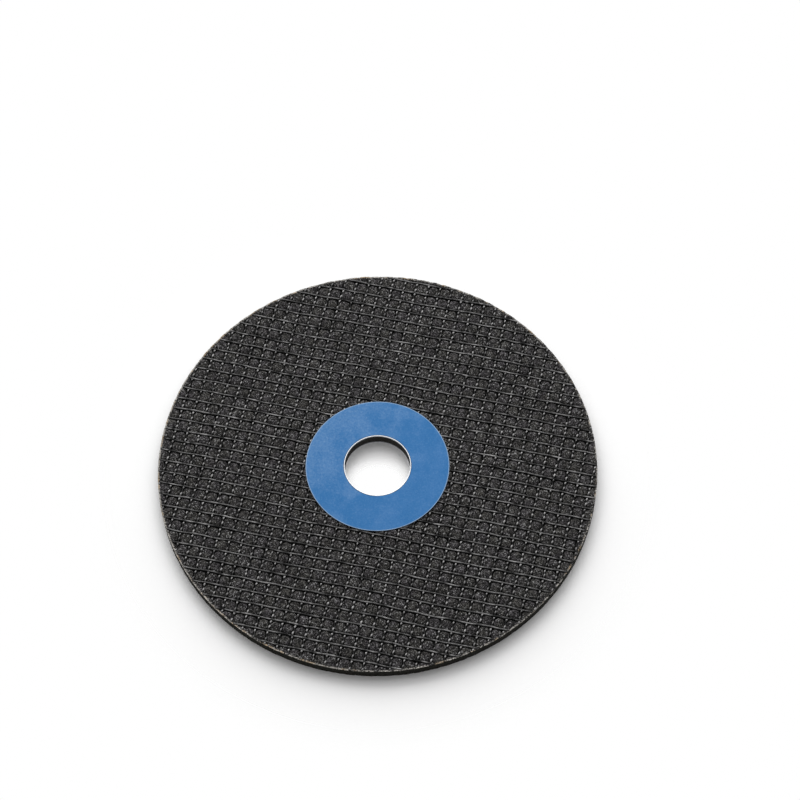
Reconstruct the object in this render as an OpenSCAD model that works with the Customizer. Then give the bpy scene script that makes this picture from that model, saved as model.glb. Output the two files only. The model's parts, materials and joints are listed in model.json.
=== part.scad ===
// Flat cut-off wheel: a pressed disc of grain and resin with a glass net on each
// face, a paper label round the front of the bore and a thin steel ring in it.
// It lies on its back: z = 0 is the crest of the back net, and +Z is the bore's axis.

/* [Wheel] */
// Outside diameter of the wheel
wheel_d = 107; // [90:0.5:180]
// Thickness over both nets
wheel_t = 3.2; // [1.6:0.1:6.4]

/* [Bore ring] */
// Bore of the steel ring
bore_d = 16; // [10:0.01:22.3]
// Wall of the ring
ring_wall = 0.25; // [0.15:0.05:0.6]
// Chamfer on the inner edges of the ring
ring_chamfer = 0.1; // [0.02:0.01:0.14]
// Radial glue gap round the ring
ring_gap = 0.02; // [0.01:0.01:0.1]

/* [Label] */
// Outside diameter of the label
label_d = 35; // [26:0.5:60]
// Thickness of the label's paper
label_t = 0.12; // [0.08:0.01:0.3]

/* [Net] */
// Width of a yarn at its base
yarn_w = 0.7; // [0.4:0.05:1.2]
// Width of a yarn's flattened crest
crest_w = 0.35; // [0.1:0.05:0.4]
// Height of a yarn
yarn_h = 0.15; // [0.1:0.01:0.3]
// Resin film where yarns cross
resin_film = 0.02; // [0.01:0.01:0.05]
// Spacing of the long yarns, which lie on top
long_pitch = 2.94; // [2:0.02:6]
// Spacing of the cross yarns, which lie below
cross_pitch = 3; // [2:0.02:6]
// Direction of the long yarns, turned from +X
net_angle = -13.5; // [-90:0.5:90]
// Angle from the long yarns to the cross yarns
weave_angle = 88.5; // [75:0.5:105]
// Offset of the middle long yarn from the axis
long_offset = -0.4; // [-1:0.02:1]
// Offset of the middle cross yarn from the axis
cross_offset = -0.42; // [-1:0.02:1]
// Turn of the back net against the front net
back_turn = 60; // [0:1:90]

/* [Hidden] */
$fn = 128;

ring_d = bore_d + 2 * ring_wall;
hole_d = ring_d + 2 * ring_gap;
net_h = 2 * yarn_h + resin_film;
disc_t = wheel_t - 2 * net_h;
ring_h = wheel_t + label_t;

// A flat washer round the ring, the outline that grain, net and paper share
module washer(d, h) {
    rotate_extrude()
        translate([hole_d / 2, 0])
            square([(d - hole_d) / 2, h]);
}

// One straight yarn along +X, flat below and flattened on its crest
module yarn(length) {
    rotate([90, 0, 90])
        linear_extrude(length)
            polygon([
                [-yarn_w / 2, 0], [yarn_w / 2, 0],
                [crest_w / 2, yarn_h], [-crest_w / 2, yarn_h]
            ]);
}

// Half the length of a chord of the wheel at this distance from the axis
function half_chord(distance) = sqrt(max(0, pow(wheel_d / 2, 2) - pow(distance, 2)));

// Yarns side by side. One near the rim stays only where it is long enough to cross another.
module yarn_row(pitch, offset, crossing_pitch) {
    last = ceil(wheel_d / 2 / pitch);
    for (i = [-last : last]) {
        y = offset + i * pitch;
        if (half_chord(abs(y) + yarn_w / 2) > crossing_pitch)
            translate([-wheel_d / 2, y, 0]) yarn(wheel_d);
    }
}

// A net punched from the woven sheet, cross yarns below and long yarns over them
module net() {
    intersection() {
        translate([0, 0, -yarn_h]) washer(wheel_d, net_h + 2 * yarn_h);
        union() {
            rotate(net_angle + weave_angle) yarn_row(cross_pitch, cross_offset, long_pitch);
            translate([0, 0, yarn_h + resin_film])
                rotate(net_angle) yarn_row(long_pitch, long_offset, cross_pitch);
        }
    }
}

module abrasive_disc() {
    color("#2c2b29") translate([0, 0, net_h]) washer(wheel_d, disc_t);
}

module front_net() {
    color("#6a6966") translate([0, 0, wheel_t - net_h]) net();
}

module back_net() {
    color("#6a6966") translate([0, 0, net_h]) mirror([0, 0, 1]) rotate(back_turn) net();
}

module label() {
    color("#4477ad") translate([0, 0, wheel_t]) washer(label_d, label_t);
}

// Sleeve through the whole wheel, flush with the label, its inner edges broken
module bore_ring() {
    color("#c3cbd2")
        rotate_extrude()
            polygon([
                [bore_d / 2 + ring_chamfer, 0], [ring_d / 2, 0],
                [ring_d / 2, ring_h], [bore_d / 2 + ring_chamfer, ring_h],
                [bore_d / 2, ring_h - ring_chamfer], [bore_d / 2, ring_chamfer]
            ]);
}

abrasive_disc();
front_net();
back_net();
label();
bore_ring();
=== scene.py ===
import json
import math

import bmesh
import bpy
import numpy as np
from mathutils import Matrix, Vector

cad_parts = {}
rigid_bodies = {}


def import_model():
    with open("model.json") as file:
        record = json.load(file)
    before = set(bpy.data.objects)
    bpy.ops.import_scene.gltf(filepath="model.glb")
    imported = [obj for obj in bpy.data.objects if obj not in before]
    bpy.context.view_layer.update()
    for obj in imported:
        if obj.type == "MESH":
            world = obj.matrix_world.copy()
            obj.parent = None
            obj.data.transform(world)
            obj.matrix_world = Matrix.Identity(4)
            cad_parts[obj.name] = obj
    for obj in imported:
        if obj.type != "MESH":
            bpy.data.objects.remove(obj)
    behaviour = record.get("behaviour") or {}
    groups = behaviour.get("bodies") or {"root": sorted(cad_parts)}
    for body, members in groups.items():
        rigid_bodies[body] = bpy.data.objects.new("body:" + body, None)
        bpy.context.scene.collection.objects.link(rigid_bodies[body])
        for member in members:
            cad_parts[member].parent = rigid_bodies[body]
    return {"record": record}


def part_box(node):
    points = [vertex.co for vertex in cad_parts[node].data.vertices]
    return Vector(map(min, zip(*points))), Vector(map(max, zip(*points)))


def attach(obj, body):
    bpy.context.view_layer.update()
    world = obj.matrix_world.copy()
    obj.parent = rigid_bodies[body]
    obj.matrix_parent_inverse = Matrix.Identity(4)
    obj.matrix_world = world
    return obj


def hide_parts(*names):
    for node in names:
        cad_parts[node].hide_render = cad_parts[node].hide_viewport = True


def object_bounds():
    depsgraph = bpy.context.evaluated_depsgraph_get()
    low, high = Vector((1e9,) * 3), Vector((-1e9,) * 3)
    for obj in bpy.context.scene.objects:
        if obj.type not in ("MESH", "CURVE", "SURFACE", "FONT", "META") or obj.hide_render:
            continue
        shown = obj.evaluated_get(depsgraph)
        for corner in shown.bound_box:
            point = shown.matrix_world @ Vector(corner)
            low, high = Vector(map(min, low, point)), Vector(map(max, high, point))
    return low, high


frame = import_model()
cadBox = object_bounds()
scene = bpy.context.scene
mm = 0.001  # settings below are in millimetres and degrees

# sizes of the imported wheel
wheelR = (cadBox[1].x - cadBox[0].x) / 2 / mm
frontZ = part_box("front_net")[1].z / mm
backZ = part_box("back_net")[0].z / mm
middleZ = (frontZ + backZ) / 2
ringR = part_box("bore_ring")[1].x / mm
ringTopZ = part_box("bore_ring")[1].z / mm
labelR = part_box("label")[1].x / mm
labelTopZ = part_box("label")[1].z / mm
boreR = next(m["dims"]["r_mm"] for m in frame["record"]["mounts"] if m["name"] == "arbor_bore")
glueGap = 0.02  # round the ring
print("wheel radius", round(wheelR, 3), "front face at", round(frontZ, 3), "mm")


# Shader sums and nodes

class Value:
    def __init__(self, shader, socket):
        self.shader = shader
        self.socket = socket

    def math(self, operation, first, second):
        return self.shader.add("ShaderNodeMath", {"operation": operation}, {0: first, 1: second})[0]

    def __add__(self, other):
        return self.math("ADD", self, other)

    def __radd__(self, other):
        return self.math("ADD", other, self)

    def __sub__(self, other):
        return self.math("SUBTRACT", self, other)

    def __rsub__(self, other):
        return self.math("SUBTRACT", other, self)

    def __mul__(self, other):
        return self.math("MULTIPLY", self, other)

    def __rmul__(self, other):
        return self.math("MULTIPLY", other, self)

    def __pow__(self, other):
        return self.math("POWER", self, other)

    def __abs__(self):
        return self.math("ABSOLUTE", self, 0.0)


class Made:
    def __init__(self, shader, node):
        self.shader = shader
        self.node = node

    def __getitem__(self, name):
        return Value(self.shader, self.node.outputs[name])


class Shader:
    def __init__(self, name):
        self.material = bpy.data.materials.new(name)
        self.material.use_nodes = True
        self.tree = self.material.node_tree
        self.surface = self.tree.nodes["Principled BSDF"]

    def add(self, kind, settings=None, sockets=None):
        node = self.tree.nodes.new(kind)
        for key, value in (settings or {}).items():
            setattr(node, key, value)
        for key, value in (sockets or {}).items():
            self.feed(node.inputs[key], value)
        return Made(self, node)

    def feed(self, socket, value):
        if isinstance(value, Value):
            self.tree.links.new(value.socket, socket)
        else:
            socket.default_value = value

    def finish(self, **sockets):
        for key, value in sockets.items():
            self.feed(self.surface.inputs[key.replace("_", " ")], value)
        return self.material

    # the shader above shows where factor is 1, a plain dull colour where it is 0
    def dullBelow(self, factor, colour):
        dull = self.add("ShaderNodeBsdfDiffuse", {}, {"Color": colour})[0]
        lit = Value(self, self.surface.outputs[0])
        both = self.add("ShaderNodeMixShader", {}, {0: factor, 1: dull, 2: lit})[0]
        self.feed(self.tree.nodes["Material Output"].inputs["Surface"], both)

    # object coordinates, in millimetres
    def placeInMm(self):
        place = self.add("ShaderNodeTexCoord")["Object"]
        return self.add("ShaderNodeVectorMath", {"operation": "SCALE"}, {0: place, "Scale": 1 / mm})[0]

    def axes(self, vector):
        parts = self.add("ShaderNodeSeparateXYZ", {}, {0: vector})
        return parts["X"], parts["Y"], parts["Z"]

    def noise(self, vector, scale, detail=2.0, roughness=0.5, swirl=0.0):
        sockets = {"Vector": vector, "Scale": scale, "Detail": detail, "Roughness": roughness}
        sockets["Distortion"] = swirl
        return self.add("ShaderNodeTexNoise", {}, sockets)["Fac"]

    def cells(self, vector, scale):
        return self.add("ShaderNodeTexVoronoi", {"feature": "F1"}, {"Vector": vector, "Scale": scale})

    # 0 below low, 1 above high, smooth between them
    def between(self, value, low, high):
        sockets = {"Value": value, "From Min": low, "From Max": high}
        return self.add("ShaderNodeMapRange", {"interpolation_type": "SMOOTHSTEP"}, sockets)["Result"]

    def blend(self, factor, first, second):
        return self.add("ShaderNodeMix", {"data_type": "RGBA"}, {0: factor, 6: first, 7: second})[2]

    def bump(self, height, strength, distance):
        sockets = {"Height": height, "Strength": strength, "Distance": distance * mm}
        return self.add("ShaderNodeBump", {}, sockets)["Normal"]


def length(x, y):
    return (x * x + y * y) ** 0.5


def rgb(red, green, blue):
    return (red, green, blue, 1.0)


# Net, shared by the grain's pads and the yarns between them

net = {
    "longPitch": 2.94,
    "crossPitch": 3.0,
    "longAngle": -13.5,
    "crossAngle": 75.0,
    "longOffset": -0.4,
    "crossOffset": -0.42,
    "backTurn": 60.0,
    "wander": 0.15,  # how far the pressed cloth strays from straight, in long waves
    "ripple": 0.04,  # and in short ones
    "reach": 19,  # yarns counted each way from the axis
    # the waves: share, radians per millimetre of x and of y, start
    "wanderX": ((0.6, 0.0, 0.21, 1.3), (0.5, 0.11, 0.17, 0.4)),
    "wanderY": ((0.6, 0.19, 0.0, 2.1), (0.5, -0.09, 0.13, 5.0)),
    "rippleX": ((1.0, 0.71, -0.33, 2.0), (1.0, 0.27, 0.93, 0.7)),
    "rippleY": ((1.0, 0.83, 0.24, 4.1), (1.0, -0.64, 0.52, 1.9)),
}


def waveSum(rows, x, y):
    return sum(share * np.sin(perX * x + perY * y + start) for share, perX, perY, start in rows)


# Point of the net at a long yarns and b cross yarns from the axis, in millimetres
def netPoint(a, b, turn):
    alongLong = net["longOffset"] + a * net["longPitch"]
    alongCross = net["crossOffset"] + b * net["crossPitch"]
    longNormal = math.radians(net["longAngle"] + 90)
    crossNormal = math.radians(net["crossAngle"] + 90)
    across = math.sin(crossNormal - longNormal)
    x = (alongLong * math.sin(crossNormal) - alongCross * math.sin(longNormal)) / across
    y = (alongCross * math.cos(longNormal) - alongLong * math.cos(crossNormal)) / across
    wanderX, wanderY = waveSum(net["wanderX"], x, y), waveSum(net["wanderY"], x, y)
    rippleX, rippleY = waveSum(net["rippleX"], x, y), waveSum(net["rippleY"], x, y)
    x = x + net["wander"] * wanderX + net["ripple"] * rippleX
    y = y + net["wander"] * wanderY + net["ripple"] * rippleY
    c, s = math.cos(math.radians(turn)), math.sin(math.radians(turn))
    return c * x - s * y, s * x + c * y


def smooth(value, low, high):
    t = np.clip((value - low) / (high - low), 0, 1)
    return t * t * (3 - 2 * t)


def coordinates(mesh):
    flat = np.empty(len(mesh.vertices) * 3)
    mesh.vertices.foreach_get("co", flat)
    return flat.reshape(-1, 3)


def objectFrom(bm, name, finishes):
    mesh = bpy.data.meshes.new(name)
    bm.to_mesh(mesh)
    bm.free()
    piece = bpy.data.objects.new(name, mesh)
    scene.collection.objects.link(piece)
    for finish in finishes:
        mesh.materials.append(finish)
    return piece


# Ring with a square section, spun round the axis
def spunRing(inner, outer, low, high, segments):
    bm = bmesh.new()
    section = ((inner, low), (outer, low), (outer, high), (inner, high))
    corners = [bm.verts.new((x * mm, 0, z * mm)) for x, z in section]
    edges = [bm.edges.new((corners[i - 1], corners[i])) for i in range(4)]
    bmesh.ops.spin(bm, geom=corners + edges, cent=(0, 0, 0), axis=(0, 0, 1), angle=math.tau,
                   steps=segments, use_merge=True)
    bmesh.ops.remove_doubles(bm, verts=bm.verts, dist=1e-8)
    bmesh.ops.recalc_face_normals(bm, faces=bm.faces)
    return bm


# Rounds the edges that run round the axis
def softenRims(bm, width, segments):
    rims = []
    for e in bm.edges:
        first, second = (v.co for v in e.verts)
        level = abs(first.z - second.z) < 1e-9
        if level and abs(first.xy.length - second.xy.length) < 1e-9:
            rims.append(e)
    bmesh.ops.bevel(bm, geom=rims, offset=width * mm, affect="EDGES", segments=segments, profile=0.5,
                    material=-1)


def shadeSmooth(piece, sharpAngle):
    piece.data.shade_smooth()
    piece.data.set_sharp_from_angle(angle=math.radians(sharpAngle))


def dress(piece, node):
    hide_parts(node)
    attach(piece, "root")
    print(piece.name, len(piece.data.polygons), "faces")


# Grain body with its pads

grain = {
    "padTop": 0.08,  # depths are below the net's crest
    "valley": 0.50,
    "leastDepth": 0.02,
    "padSize": 0.80,  # share of the net's opening
    "sizeSpread": 0.025,
    "padEdge": (0.10, 0.08),  # how far the slope of a pad's edge runs inwards and outwards
    "tall": (1.13, 1.02),  # pads come closer to the long yarn on one side than on the other
    "corner": 2.5,
    "dome": 0.15,
    "unevenness": 0.018,
    "lift": 0.6,  # shares of the unevenness
    "tilt": 0.5,
    "speckle": 0.010,
    "rimFill": 1.2,  # width of the filled band at the rim
    "rimShare": 0.75,  # how full it is
    "rimSegments": 720,
    "rimWear": 0.05,
    "wallWidth": 0.2,  # steep faces this near the rim are the cut wall
    "cutterZ": (-5, 9),
    "sharpAngle": 50,
    "frontStops": (0.0, 0.08, 0.16, 0.28, 0.5, 0.72, 0.84, 0.92),
    "backStops": (0.0, 0.09, 0.22, 0.78, 0.91),
    "seed": 7,
    "resin": rgb(0.009, 0.0087, 0.0087),
    "warmFlecks": rgb(0.095, 0.091, 0.084),
    "coolFlecks": rgb(0.094, 0.087, 0.094),
    "brownPatch": rgb(0.030, 0.025, 0.019),
    "strand": rgb(0.12, 0.118, 0.115),
    "sparkle": rgb(0.27, 0.27, 0.27),
    "paleRim": rgb(0.42, 0.40, 0.37),
    "tanRim": rgb(0.46, 0.36, 0.25),
    "hollow": rgb(0.004, 0.004, 0.004),
    "wallDark": rgb(0.006, 0.006, 0.005),
    "wallLight": rgb(0.020, 0.020, 0.016),
    "wallGrains": rgb(0.040, 0.038, 0.034),
}


def washerCutter():
    count = grain["rimSegments"]
    bm = spunRing(ringR + glueGap, wheelR, *grain["cutterZ"], count)
    rng = np.random.default_rng(grain["seed"])
    wear = 1 - rng.random(count) * grain["rimWear"] / wheelR
    for v in bm.verts:
        if v.co.xy.length > wheelR * mm / 2:
            turn = math.atan2(v.co.y, v.co.x) / math.tau % 1.0
            v.co.xy *= wear[round(turn * count) % count]
    return objectFrom(bm, "washerCutter", [])


# One half of the body, from its middle plane to its face, cut to the wheel's outline
def grainHalf(name, stops, turn, side, cutter):
    count = len(stops)
    cells = 2 * net["reach"]
    bm = bmesh.new()
    bmesh.ops.create_grid(bm, x_segments=cells * count, y_segments=cells * count, size=1.0)
    slab = objectFrom(bm, name, [])
    flat = coordinates(slab.data)
    ticks = np.rint((flat[:, :2] + 1) / 2 * cells * count).astype(int)
    whole, part = ticks // count, np.array(stops)[ticks % count]
    a, b = (whole + part - net["reach"]).T
    x, y = netPoint(a, b, turn)

    rng = np.random.default_rng(grain["seed"] + count)
    uneven = rng.normal(size=(4, cells + 1, cells + 1)).clip(-2, 2)
    lift, tiltA, tiltB, size = uneven[:, whole[:, 0], whole[:, 1]]
    da, db = 2 * part[:, 0] - 1, 2 * part[:, 1] - 1
    da, db = np.where(part[:, 0] == 0, -1, da), np.where(part[:, 1] == 0, -1, db)
    corner = grain["corner"]
    tall = np.where(da < 0, *grain["tall"])
    reach = (np.abs(da / tall) ** corner + np.abs(db) ** corner) ** (1 / corner)
    edge = grain["padSize"] + grain["sizeSpread"] * size
    pad = 1 - smooth(reach, edge - grain["padEdge"][0], edge + grain["padEdge"][1])
    radius = np.hypot(x, y)
    rim = smooth(radius, wheelR - grain["rimFill"], wheelR - grain["rimFill"] / 3)
    pad = pad + (1 - pad) * rim * grain["rimShare"]
    tilt = grain["tilt"]
    wobble = grain["unevenness"] * (grain["lift"] * lift + tilt * tiltA * da + tilt * tiltB * db)
    depth = grain["valley"] + (grain["padTop"] - grain["valley"]) * pad
    depth = depth + pad * (grain["dome"] * np.minimum(reach, 1) ** 2 + wobble)
    depth = depth + grain["speckle"] * rng.normal(size=len(depth)) * pad
    depth = np.maximum(depth, grain["leastDepth"])
    z = np.where(side > 0, frontZ - depth, backZ + depth)
    slab.data.vertices.foreach_set("co", (np.column_stack((x, y, z)) * mm).ravel())

    bm = bmesh.new()
    bm.from_mesh(slab.data)
    border = [e for e in bm.edges if e.is_boundary]
    skirt = bmesh.ops.extrude_edge_only(bm, edges=border)["geom"]
    for v in skirt:
        if isinstance(v, bmesh.types.BMVert):
            v.co.z = middleZ * mm
    bmesh.ops.contextual_create(bm, geom=[e for e in bm.edges if e.is_boundary])
    bmesh.ops.recalc_face_normals(bm, faces=bm.faces)
    # flat faces only, so that the cut leaves no flaps along its edges
    bmesh.ops.triangulate(bm, faces=[f for f in bm.faces if len(f.verts) == 4], quad_method="FIXED")
    bm.to_mesh(slab.data)
    bm.free()
    cut = slab.modifiers.new("outline", "BOOLEAN")
    cut.operation = "INTERSECT"
    cut.solver = "MANIFOLD"
    cut.object = cutter
    made = bpy.data.meshes.new_from_object(slab.evaluated_get(bpy.context.evaluated_depsgraph_get()))
    bpy.data.objects.remove(slab)
    return made


def makeGrain(finishes):
    cutter = washerCutter()
    bm = bmesh.new()
    halves = (
        grainHalf("frontHalf", grain["frontStops"], 0.0, 1, cutter),
        grainHalf("backHalf", grain["backStops"], net["backTurn"], -1, cutter),
    )
    for half in halves:
        bm.from_mesh(half)
        bpy.data.meshes.remove(half)
    inner = [f for f in bm.faces if all(abs(v.co.z - middleZ * mm) < 1e-7 for v in f.verts)]
    bmesh.ops.delete(bm, geom=inner, context="FACES")
    bmesh.ops.remove_doubles(bm, verts=bm.verts, dist=2e-7)
    bmesh.ops.recalc_face_normals(bm, faces=bm.faces)
    for f in bm.faces:
        steep = abs(f.normal.z) < 0.1
        if steep and f.calc_center_median().xy.length > (wheelR - grain["wallWidth"]) * mm:
            f.material_index = 1
    print("grain body: open edges", sum(e.is_boundary for e in bm.edges))
    bpy.data.objects.remove(cutter)
    piece = objectFrom(bm, "grainBody", finishes)
    shadeSmooth(piece, grain["sharpAngle"])
    dress(piece, "abrasive_disc")


def grainFinish():
    s = Shader("pressedGrain")
    place = s.placeInMm()
    x, y, z = s.axes(place)
    radius = length(x, y)
    fromMiddle = abs(z - middleZ)
    lumps = s.cells(place, 2.4)
    grit = s.cells(place, 4.3)
    lumpTone = s.axes(lumps["Color"])[0]
    gritTone = s.axes(grit["Color"])[1]
    fine = s.noise(place, 4.6, detail=3.0, roughness=0.6, swirl=1.2)
    broad = s.noise(place, 0.35)
    onPads = s.between(fromMiddle, 1.12, 1.36)
    # painted glints: the brightest grit flecks on the pads get a pale colour as well as lower roughness
    sparkle = s.between(gritTone, 0.90, 0.96) * onPads
    mixed = s.between(0.10 * lumpTone + 0.8 * gritTone + 0.5 * fine, 0.54, 1.08)
    tint = s.between(s.noise(place, 0.3, detail=3.0), 0.4, 0.6)
    flecks = s.blend(tint, grain["warmFlecks"], grain["coolFlecks"])
    tone = s.blend(mixed, grain["resin"], flecks)
    tone = s.blend(s.between(broad, 0.5, 0.75) * 0.08, tone, grain["brownPatch"])
    strands = s.between(1 - 13 * abs(s.noise(place, 2.3, swirl=1.0) - 0.5), 0.2, 0.8)
    tone = s.blend(strands * gritTone * 0.35, tone, grain["strand"])
    tone = s.blend(sparkle * 0.8, tone, grain["sparkle"])
    # pale broken line along both edges of the rim, partly exposed glass and partly a painted edge
    # highlight
    frayed = s.noise(place, 0.8, detail=4.0, roughness=0.7)
    rim = s.between(radius + 0.5 * fine, wheelR - 0.18, wheelR - 0.02) * s.between(fromMiddle, 1.1, 1.25)
    rim = rim * s.between(frayed - 0.0017 * x, 0.41, 0.47)  # fewer pale marks towards the right
    tan = s.between(s.noise(place, 0.5), 0.5, 0.65)
    pale = s.blend(tan, grain["paleRim"], grain["tanRim"])
    tone = s.blend(rim * s.between(gritTone + fine, 0.40, 1.0), tone, pale)
    rough = 0.75 - 0.3 * sparkle
    height = (1 - lumps["Distance"]) * 0.8 + (1 - grit["Distance"]) * 0.4 + fine * 0.3
    # painted shade: the deep valleys between the pads are a plain near-black dull colour
    s.dullBelow(onPads, grain["hollow"])
    return s.finish(Base_Color=tone, Roughness=rough, Specular_IOR_Level=0.05,
                    Normal=s.bump(height, strength=1.0, distance=0.3))


def wallFinish():
    s = Shader("cutWall")
    place = s.placeInMm()
    fine = s.noise(place, 3.0, detail=3.0, roughness=0.6)
    pale = s.between(s.axes(s.cells(place, 2.6)["Color"])[0], 0.72, 0.95)
    tone = s.blend(s.between(fine, 0.3, 0.7), grain["wallDark"], grain["wallLight"])
    tone = s.blend(pale * 0.6, tone, grain["wallGrains"])
    return s.finish(Base_Color=tone, Roughness=0.95, Specular_IOR_Level=0.08,
                    Normal=s.bump(fine, strength=0.8, distance=0.15))


# Yarns of the two nets

yarns = {
    "longWidth": 0.18,  # widths and heights are half sizes
    "longHeight": 0.10,
    "longDepth": 0.025,
    "longStray": 0.012,  # sideways drift, in pitches
    "longLift": 0.012,  # how much the depth varies
    "crossingWidth": 0.08,  # share that a long yarn gains in width where it crosses another
    "crossingLift": 0.02,  # and how far it rises there
    "longShine": 0.32,
    "slowShine": 0.03,  # how much the painted shine varies slowly, in dashes, and the painted shade at crossings
    "dashShine": 0.14,
    "breakShine": 0.28,
    "breakHalf": 0.12,
    "crossWidth": 0.18,
    "crossHeight": 0.10,
    "crossStray": 0.014,
    "crossLift": 0.02,
    "crossShine": (0.10, 0.90),  # painted shade where it passes below, and the painted highlight it gains where it shows
    "shineCurve": 1.5,
    "lowShare": 0.8,  # share of the size that a cross yarn has below
    "widthGain": 0.25,  # and what it gains where it shows
    "heightGain": 0.3,
    "widthSwell": 0.12,  # how much the sizes vary, as shares
    "heightSwell": 0.10,
    "mostHeight": 0.16,
    "leastDepth": 0.005,
    "sunk": 0.34,  # depth of a cross yarn where it passes below
    "raised": 0.05,  # and where it shows
    "slant": 0.08,  # the raised lengths of a cross yarn lean this far
    "strokeAt": 0.32,  # in each opening a cross yarn shows as a stroke and a dot
    "strokeHalf": 0.135,
    "strokeGain": (0.42, 0.98),
    "dotAt": 0.825,
    "dotHalf": 0.085,
    "dotGain": (0.62, 1.45),
    "shift": 0.055,
    "endGap": (0.2, 0.22),  # yarns end this far from the rim and from the ring
    "sides": 6,
    "frontSteps": (4, 12),
    "backSteps": (4, 7),
    "fineness": 4,  # points tried for each one kept, to find where a yarn ends
    "seed": 21,
    "dusty": rgb(0.006, 0.006, 0.006),
    "glass": rgb(0.43, 0.424, 0.422),
}


# Tube along a row of points, squashed to a half width and a half height
def tube(bm, bare, centre, side, width, height, shine, slot):
    rings, sides = len(centre), yarns["sides"]
    made = bmesh.ops.create_grid(bm, x_segments=rings - 1, y_segments=sides, size=1.0)["verts"]
    up = np.array((0.0, 0.0, 1.0))
    for v in made:
        i = round((v.co.x + 1) / 2 * (rings - 1))
        angle = math.tau * round((v.co.y + 1) / 2 * sides) / sides
        v.co = (centre[i] + math.cos(angle) * width[i] * side[i] + math.sin(angle) * height[i] * up) * mm
        v[bare] = shine[i]
    for face in {f for v in made for f in v.link_faces}:
        face.material_index = slot


# Runs of a yarn between the rim and the bore
def yarnRuns(x, y):
    radius = np.hypot(x, y)
    inside = (radius < wheelR - yarns["endGap"][0]) & (radius > ringR + yarns["endGap"][1])
    breaks = np.flatnonzero(np.diff(inside.astype(int)))
    runs = np.split(np.arange(len(x)), breaks + 1)
    fine = yarns["fineness"]
    return [np.union1d(run[::fine], run[-1:]) for run in runs if inside[run[0]] and len(run) > 2 * fine]


# Path, half width, half height, depth and painted shine of the long yarn k
def longYarn(k, t, turn, drift, rng):
    swell, stray, lift, worn, dashes = drift
    reach = net["reach"]
    x, y = netPoint(k + yarns["longStray"] * stray, t, turn)
    phase = t - np.floor(t)
    crossing = np.cos(math.tau * phase)
    width = yarns["longWidth"] * (1 + yarns["widthSwell"] * swell + yarns["crossingWidth"] * crossing)
    height = yarns["longHeight"] * (1 + yarns["heightSwell"] * swell)
    depth = yarns["longDepth"] - yarns["crossingLift"] * crossing + yarns["longLift"] * lift
    gap = np.minimum(phase, 1 - phase) / yarns["breakHalf"]
    # painted shade at some crossings of the long yarn
    shadedCrossing = rng.uniform(0, 1, 2 * reach + 2)[np.rint(t).astype(int) + reach] ** 2
    shine = yarns["longShine"] + yarns["slowShine"] * worn + yarns["dashShine"] * dashes
    shine = shine - yarns["breakShine"] * shadedCrossing * np.exp(-gap ** 2)
    return x, y, width, height, depth, shine


# The same of the cross yarn k
def crossYarn(k, t, turn, drift, rng):
    swell, stray, lift = drift[:3]
    count = 2 * net["reach"] + 1
    cell = np.floor(t).astype(int) + net["reach"]
    low, high = np.array((yarns["strokeGain"], yarns["dotGain"])).T[..., None]
    gain = rng.uniform(low, high, (2, count))[:, cell]
    shift = yarns["shift"] * rng.normal(size=(2, count)).clip(-2, 2)[:, cell]
    phase = t - np.floor(t)
    fromStroke = phase - yarns["strokeAt"]
    fromDot = phase - yarns["dotAt"]
    lean = -yarns["slant"] / net["crossPitch"] * np.sin(2 * math.tau * fromStroke)
    x, y = netPoint(t, k + lean + yarns["crossStray"] * stray, turn)
    stroke = np.exp(-np.abs((fromStroke - shift[0]) / yarns["strokeHalf"]) ** 3)
    dot = np.exp(-np.abs((fromDot - shift[1]) / yarns["dotHalf"]) ** 3)
    shown = np.maximum(stroke, dot)
    width = yarns["crossWidth"] * (1 + yarns["widthSwell"] * swell)
    width = width * (yarns["lowShare"] + yarns["widthGain"] * shown)
    height = yarns["crossHeight"] * (yarns["lowShare"] + yarns["heightGain"] * shown)
    depth = yarns["sunk"] - (yarns["sunk"] - yarns["raised"]) * shown + yarns["crossLift"] * lift
    # painted light: dark where the cross yarn passes below, a painted highlight on its raised stroke and
    # dot
    dull, bright = yarns["crossShine"]
    shine = dull + bright * np.maximum(gain[0] * stroke, gain[1] * dot) ** yarns["shineCurve"]
    return x, y, width, height, depth, shine


def makeNet(name, node, turn, facing, steps, finishes):
    rng = np.random.default_rng(yarns["seed"] + steps[0])
    face = frontZ if facing > 0 else backZ
    reach = net["reach"]
    bm = bmesh.new()
    # this layer, named bare, carries each point's painted shine
    bare = bm.verts.layers.float.new("bare")
    knots = np.arange(-reach, reach + 0.4, 0.5)
    fineKnots = np.arange(-reach, reach + 0.2, 0.25)
    for layer, (yarn, step) in enumerate(zip((longYarn, crossYarn), steps)):
        t = np.linspace(-reach, reach, 2 * reach * step * yarns["fineness"] + 1)
        for k in range(-reach, reach + 1):
            waves = rng.normal(size=(4, len(knots)))
            swell, stray, lift, worn = (np.interp(t, knots, row) for row in waves)
            stray = stray + rng.normal()
            dashes = np.interp(t, fineKnots, rng.normal(size=len(fineKnots)))
            drift = (swell, stray, lift, worn, dashes)
            x, y, width, height, depth, shine = yarn(k, t, turn, drift, rng)
            height = np.minimum(height, yarns["mostHeight"])
            z = face - facing * (np.maximum(depth, yarns["leastDepth"]) + height)
            for run in yarnRuns(x, y):
                points = np.column_stack((x, y, z))[run]
                along = np.gradient(points[:, :2], axis=0)
                along /= np.linalg.norm(along, axis=1)[:, None]
                across = np.column_stack((-along[:, 1], along[:, 0], np.zeros(len(run))))
                tube(bm, bare, points, across, width[run], height[run], shine[run], layer)
    bmesh.ops.remove_doubles(bm, verts=bm.verts, dist=1e-8)
    bmesh.ops.holes_fill(bm, edges=[e for e in bm.edges if e.is_boundary], sides=0)
    bmesh.ops.recalc_face_normals(bm, faces=bm.faces)
    piece = objectFrom(bm, name, finishes)
    piece.data.shade_smooth()
    dress(piece, node)


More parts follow.
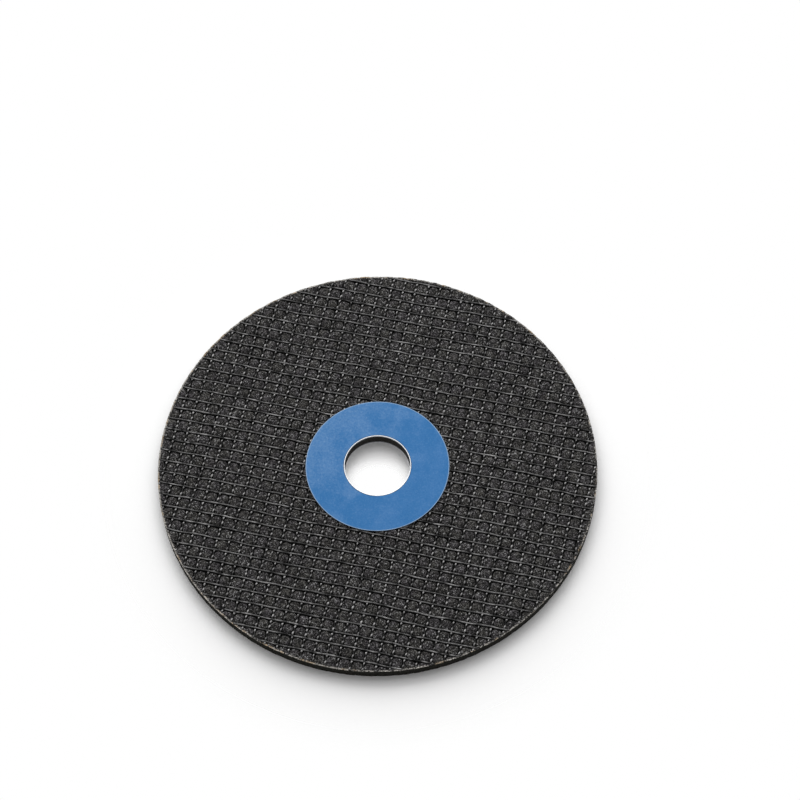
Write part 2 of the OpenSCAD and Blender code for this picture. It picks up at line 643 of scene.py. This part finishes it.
def yarnFinish(name, angle):
    s = Shader(name)
    place = s.placeInMm()
    turn = (0, 0, -math.radians(angle))
    turned = s.add("ShaderNodeMapping", {}, {"Vector": place, "Rotation": turn})[0]
    drawn = s.add("ShaderNodeMapping", {}, {"Vector": turned, "Scale": (0.25, 1.0, 1.0)})[0]
    fibres = s.noise(drawn, 16.0)
    dust = s.noise(place, 4.0)
    # painted highlight and shade along each yarn, from the layer named bare, mixed with dust and fibres
    # into the tone
    shine = s.add("ShaderNodeAttribute", {"attribute_name": "bare"})["Fac"]
    litAndClean = s.between(shine + 0.5 * (fibres - 0.5) + 0.5 * (dust - 0.5), 0.0, 1.0)
    tone = s.blend(litAndClean, yarns["dusty"], yarns["glass"])
    return s.finish(Base_Color=tone, Roughness=0.6 + 0.2 * dust, Specular_IOR_Level=0.08,
                    Normal=s.bump(fibres + dust * 0.6, strength=0.5, distance=0.04))


# Paper label round the bore

label = {
    "segments": 256,
    "rings": 24,
    "edge": 0.03,
    "edgeSegments": 2,
    "emboss": 0.012,  # depth of the slight waves in the paper
    "waves": ((0.9, 0.4, 0.0), (-0.3, 0.7, 1.0)),  # radians per millimetre of x and of y, start
    "sharpAngle": 40,
    "blue": rgb(0.030, 0.155, 0.385),
    "lightBlue": rgb(0.047, 0.176, 0.414),
    "scuff": rgb(0.165, 0.30, 0.51),
    "deepBlue": rgb(0.025, 0.12, 0.33),
    "cutEdge": rgb(0.30, 0.42, 0.58),
    "innerEdge": rgb(0.05, 0.12, 0.26),
}


def makeLabel(finish):
    bm = spunRing(ringR + glueGap, labelR, frontZ, labelTopZ, label["segments"])
    softenRims(bm, label["edge"], label["edgeSegments"])
    radial = [e for e in bm.edges if abs(e.verts[0].co.xy.length - e.verts[1].co.xy.length) > 1 * mm]
    bmesh.ops.subdivide_edges(bm, edges=radial, cuts=label["rings"], use_grid_fill=True)
    for v in bm.verts:
        if v.co.z > labelTopZ * mm - 1e-6:
            x, y = v.co.x / mm, v.co.y / mm
            rise = math.prod(math.sin(perX * x + perY * y + start) for perX, perY, start in label["waves"])
            v.co.z -= label["emboss"] * (0.5 + 0.5 * rise) * mm
    piece = objectFrom(bm, "paperLabel", [finish])
    shadeSmooth(piece, label["sharpAngle"])
    dress(piece, "label")


def labelFinish():
    s = Shader("bluePaper")
    place = s.placeInMm()
    x, y = s.axes(place)[:2]
    radius = length(x, y)
    cloud = s.noise(place, 0.22, detail=4.0, roughness=0.6)
    mottle = s.noise(place, 1.5, detail=5.0, roughness=0.7)
    speck = s.noise(place, 2.6, detail=3.0, roughness=0.6)
    tone = s.blend(s.between(cloud, 0.35, 0.7), label["blue"], label["lightBlue"])
    paintedSheen = s.between(cloud - 0.014 * x + 0.010 * y, 0.42, 0.78)  # painted sheen, most at the upper left
    scuffsAndSheen = paintedSheen * (0.16 + 0.40 * s.between(mottle, 0.40, 0.72)) + 0.25 * s.between(mottle, 0.62, 0.76)
    scuffsAndSheen = scuffsAndSheen + 0.16 * s.between(speck, 0.50, 0.70)
    tone = s.blend(scuffsAndSheen, tone, label["scuff"])
    tone = s.blend((1 - s.between(speck, 0.32, 0.46)) * 0.35, tone, label["deepBlue"])
    cutEdge = s.between(radius, labelR - 0.24, labelR - 0.12)
    # painted shadow: a dark band at the label's inner edge, beside the ring
    innerEdge = 1 - s.between(radius, ringR + 0.05, ringR + 0.14)
    tone = s.blend(cutEdge * 0.75, tone, label["cutEdge"])
    tone = s.blend(innerEdge * 0.6, tone, label["innerEdge"])
    return s.finish(Base_Color=tone, Roughness=0.62 + 0.15 * mottle, Specular_IOR_Level=0.15,
                    Normal=s.bump(mottle + 0.4 * speck, strength=0.25, distance=0.03))


# Steel ring in the bore

ring = {
    "segments": 256,
    "lip": 0.06,
    "lipSegments": 4,
    "sharpAngle": 60,
    "greySteel": rgb(0.36, 0.37, 0.39),
    "brightSteel": rgb(0.54, 0.56, 0.59),
    "darkStain": rgb(0.010, 0.010, 0.009),
    "paleStain": rgb(0.035, 0.033, 0.030),
}


def makeRing(finish):
    bm = spunRing(boreR, ringR, backZ, ringTopZ, ring["segments"])
    softenRims(bm, ring["lip"], ring["lipSegments"])
    piece = objectFrom(bm, "steelRing", [finish])
    shadeSmooth(piece, ring["sharpAngle"])
    dress(piece, "bore_ring")


def ringFinish():
    s = Shader("ringSteel")
    place = s.placeInMm()
    x, y, z = s.axes(place)
    rolled = s.add("ShaderNodeMapping", {}, {"Vector": place, "Scale": (1.0, 1.0, 0.15)})[0]
    streaks = s.noise(rolled, 6.0, detail=3.0)
    stain = s.noise(place, 1.4, detail=3.0)
    bare = s.between(abs(z - ringTopZ / 2), ringTopZ / 2 - 0.42, ringTopZ / 2 - 0.30)
    bare = bare * s.between(stain, 0.1, 0.3)
    # painted shadow: the lip's outer edge beside the label is kept stained and dark
    bare = bare * (1 - 0.75 * s.between(length(x, y), ringR - 0.12, ringR - 0.04))
    steel = s.blend(streaks, ring["greySteel"], ring["brightSteel"])
    stained = s.blend(stain, ring["darkStain"], ring["paleStain"])
    tone = s.blend(1 - bare, steel, stained)
    return s.finish(Base_Color=tone, Metallic=bare, Roughness=0.62 - 0.32 * bare + 0.1 * streaks,
                    Specular_IOR_Level=0.1, Normal=s.bump(streaks, strength=0.15, distance=0.02))


# Stage: floor, light and camera

stage = {
    "floor": 0.99,
    "floorSize": 3.0,  # metres each way from the axis
    "floorGap": 0.02,
    "floorFade": (52, 74),  # the floor gives way to the white world between these radii
    "spotFade": (3.6, 7.4),  # and again inside the bore, a painted pool of light where the lamps would reach the floor
    "spotFront": 3.0,  # that painted pool's middle, in front of the axis
    "spotShare": 0.75,  # its depth as a share of its width
    "sky": 0.28,  # share of the plain light level that comes from all round
    "lamps": (
        # name, share of the level, degrees left of straight behind, elevation, half size to distance
        ("softbox", 0.38, 4.0, 26.1, 0.55),
        ("bigSoftbox", 0.36, -1.0, 33.7, 1.12),
    ),
    "lampDistance": 0.9,  # metres
    "lampSamples": 40,  # points along a lamp's side, to add up its light
}
view = {
    "elevation": 62.352,
    "roll": -1.363,
    "distance": 589.30,
    "aside": (5.485, 15.97),  # camera's own offset to the right and up from the wheel's axis
    "lens": 108.92,
    "sensor": 36.0,
}


def makeStage():
    bm = bmesh.new()
    bmesh.ops.create_grid(bm, x_segments=8, y_segments=8, size=stage["floorSize"])
    bmesh.ops.translate(bm, verts=bm.verts, vec=(0, 0, (backZ - stage["floorGap"]) * mm))
    s = Shader("paleFloor")
    x, y = s.axes(s.placeInMm())[:2]
    radius = length(x, y)
    near = 1 - s.between(radius, *stage["floorFade"])
    # painted light: inside the bore the floor lets the white world through, as a pool of light
    fromPool = length(x * stage["spotShare"], y + stage["spotFront"])
    paintedPool = 1 - s.between(fromPool, *stage["spotFade"])
    solid = near - paintedPool * (1 - s.between(radius, boreR, ringR))
    shade = rgb(*(stage["floor"],) * 3)
    finish = s.finish(Base_Color=shade, Alpha=solid, Roughness=0.9, Specular_IOR_Level=0.0)
    objectFrom(bm, "floor", [finish])

    world = bpy.data.worlds.new("studio")
    world.use_nodes = True
    scene.world = world
    tree = world.node_tree
    background = tree.nodes["Background"]
    background.inputs["Color"].default_value = rgb(1, 1, 1)
    path = tree.nodes.new("ShaderNodeLightPath")
    strength = None  # white where the camera, metal or glass sees it, and the sky's share elsewhere
    for ray in ("Is Camera Ray", "Is Glossy Ray", "Is Transmission Ray"):
        most = tree.nodes.new("ShaderNodeMath")
        most.operation = "MAXIMUM"
        most.inputs[1].default_value = stage["sky"]
        if strength:
            tree.links.new(strength, most.inputs[1])
        tree.links.new(path.outputs[ray], most.inputs[0])
        strength = most.outputs[0]
    tree.links.new(strength, background.inputs["Strength"])

    for name, share, left, elevation, half in stage["lamps"]:
        addLamp(name, share, math.radians(left), math.radians(elevation), half * stage["lampDistance"])


# Square lamp that gives its share of the plain level at the wheel, from what stands above the floor
def addLamp(name, share, left, elevation, half):
    distance = stage["lampDistance"]
    towards = Vector((-math.sin(left) * math.cos(elevation), math.cos(left) * math.cos(elevation),
                      math.sin(elevation)))
    turn = towards.to_track_quat("Z", "Y").to_matrix()
    samples = stage["lampSamples"]
    steps = ((np.arange(samples) + 0.5) / samples * 2 - 1) * half
    u, v = np.meshgrid(steps, steps)
    points = (np.array(towards) * distance + u[..., None] * np.array(turn.col[0])
              + v[..., None] * np.array(turn.col[1]))
    reach = np.linalg.norm(points, axis=-1)
    facing = points @ np.array(towards) / reach
    light = np.where(points[..., 2] > 0, points[..., 2] / reach * facing / reach ** 2, 0)
    lamp = bpy.data.lights.new(name, "AREA")
    lamp.size = 2 * half
    lamp.energy = share * math.pi ** 2 / light.mean()
    piece = bpy.data.objects.new(name, lamp)
    piece.matrix_world = Matrix.Translation(towards * distance) @ turn.to_4x4()
    scene.collection.objects.link(piece)


def makeCamera():
    elevation, roll = math.radians(view["elevation"]), math.radians(view["roll"])
    back = Vector((0, -math.cos(elevation), math.sin(elevation)))
    right = Vector((1, 0, 0))
    up = back.cross(right)
    turned = right * math.cos(roll) + up * math.sin(roll)
    upright = up * math.cos(roll) - right * math.sin(roll)
    place = turned * view["aside"][0] + upright * view["aside"][1] + back * view["distance"]
    camera = bpy.data.cameras.new("camera")
    camera.lens = view["lens"]
    camera.sensor_width = view["sensor"]
    camera.clip_start = 0.01
    eye = bpy.data.objects.new("camera", camera)
    turn = Matrix((turned, upright, back)).transposed()
    eye.matrix_world = Matrix.Translation((place + Vector((0, 0, frontZ))) * mm) @ turn.to_4x4()
    scene.collection.objects.link(eye)
    scene.camera = eye


scene.view_settings.view_transform = "Standard"
makeCamera()
makeStage()
makeGrain([grainFinish(), wallFinish()])
for name, node, turn, facing, steps in (
    ("frontNet", "front_net", 0.0, 1, yarns["frontSteps"]),
    ("backNet", "back_net", net["backTurn"], -1, yarns["backSteps"]),
):
    longFinish = yarnFinish(name + "Long", net["longAngle"] + turn)
    crossFinish = yarnFinish(name + "Cross", net["crossAngle"] + turn)
    makeNet(name, node, turn, facing, steps, [longFinish, crossFinish])
makeLabel(labelFinish())
makeRing(ringFinish())

print("all pieces made")
